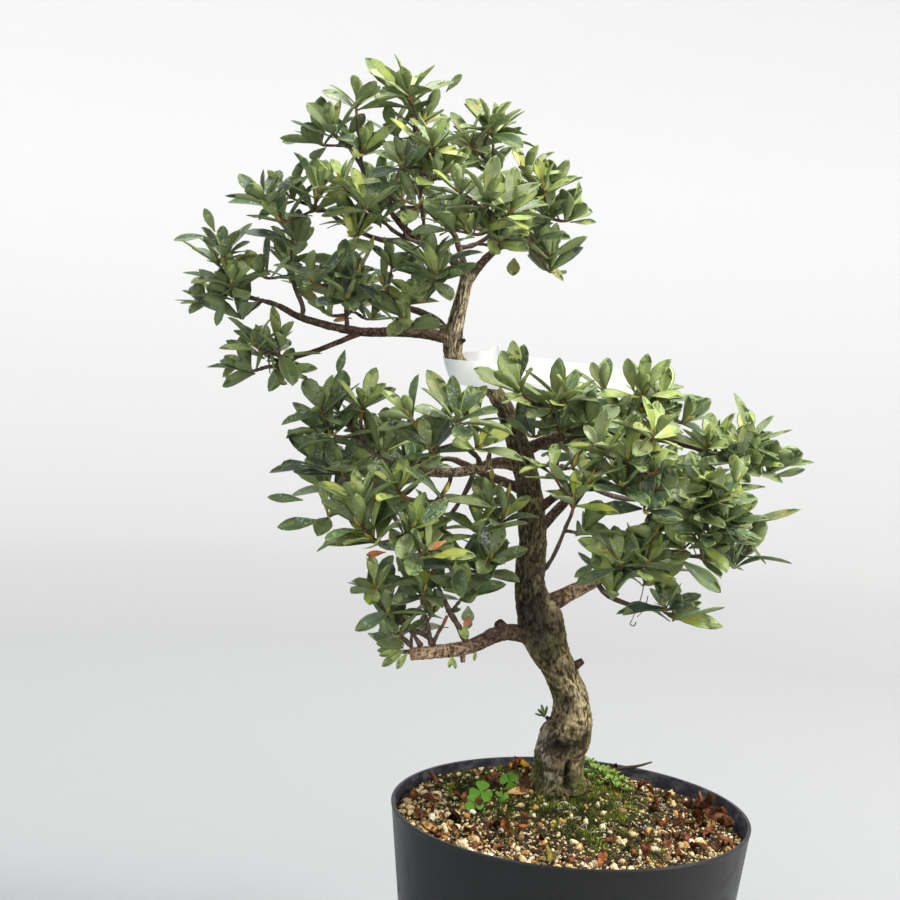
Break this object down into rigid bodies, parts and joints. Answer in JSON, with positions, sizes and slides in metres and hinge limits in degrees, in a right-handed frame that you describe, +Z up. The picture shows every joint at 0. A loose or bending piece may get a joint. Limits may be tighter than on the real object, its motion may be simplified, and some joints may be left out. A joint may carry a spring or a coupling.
{
  "type": "potted azalea bonsai tree",
  "caption": "Trained azalea with a leaning curved trunk, level boughs and pads of small leaves, in a round tapered nursery pot filled with soil.",
  "frame": {"origin": "centre of the pot's flat underside, which stands on the ground", "axes": "+Z up; -Y is the tree's front; +X is to the right seen from the front"},
  "size_m": [0.2896, 0.1895, 0.4598],
  "materials": {
    "pot_plastic": "matt black plastic with faint scuffs",
    "soil_surface": "dark soil with pale pumice grains, moss and dry leaves",
    "bark": "grey-brown flaking bark",
    "foliage": "small glossy mid-green leaves on dark twigs",
    "label_sheet": "plain white plastic sheet"
  },
  "bodies": {
    "root": {"pot": "pot_plastic", "soil": "soil_surface", "trunk": "bark", "crown_bough_left": "bark", "crown_bough_right": "bark", "crown_bough_back": "bark", "left_bough": "bark", "left_bough_under": "bark", "left_bough_back": "bark", "middle_bough_left": "bark", "middle_bough_back": "bark", "low_bough_left": "bark", "low_bough_right": "bark", "middle_bough_right": "bark", "middle_bough_right_back": "bark", "high_bough_right": "bark", "label": "label_sheet", "crown_tip": "foliage", "crown_tip_left": "foliage", "crown_shoulder_left": "foliage", "crown_centre_top": "foliage", "crown_centre": "foliage", "crown_low": "foliage", "crown_shoulder_right": "foliage", "crown_right": "foliage", "crown_right_low": "foliage", "crown_front": "foliage", "crown_back": "foliage", "crown_back_right": "foliage", "left_tip": "foliage", "left_middle": "foliage", "left_centre": "foliage", "left_inner": "foliage", "left_under": "foliage", "left_back": "foliage", "low_left_top": "foliage", "low_left_shoulder": "foliage", "low_left_far": "foliage", "low_left_tip": "foliage", "low_left_front": "foliage", "low_left_inner": "foliage", "low_left_low": "foliage", "low_left_shoot": "foliage", "low_left_back": "foliage", "low_left_back_low": "foliage", "low_right_inner": "foliage", "low_right_top": "foliage", "low_right_front": "foliage", "low_right_far": "foliage", "low_right_bright": "foliage", "low_right_middle": "foliage", "low_right_edge": "foliage", "low_right_low": "foliage", "low_right_droop": "foliage", "low_right_back": "foliage", "low_right_back_far": "foliage", "low_right_back_low": "foliage"}
  },
  "joints": []
}
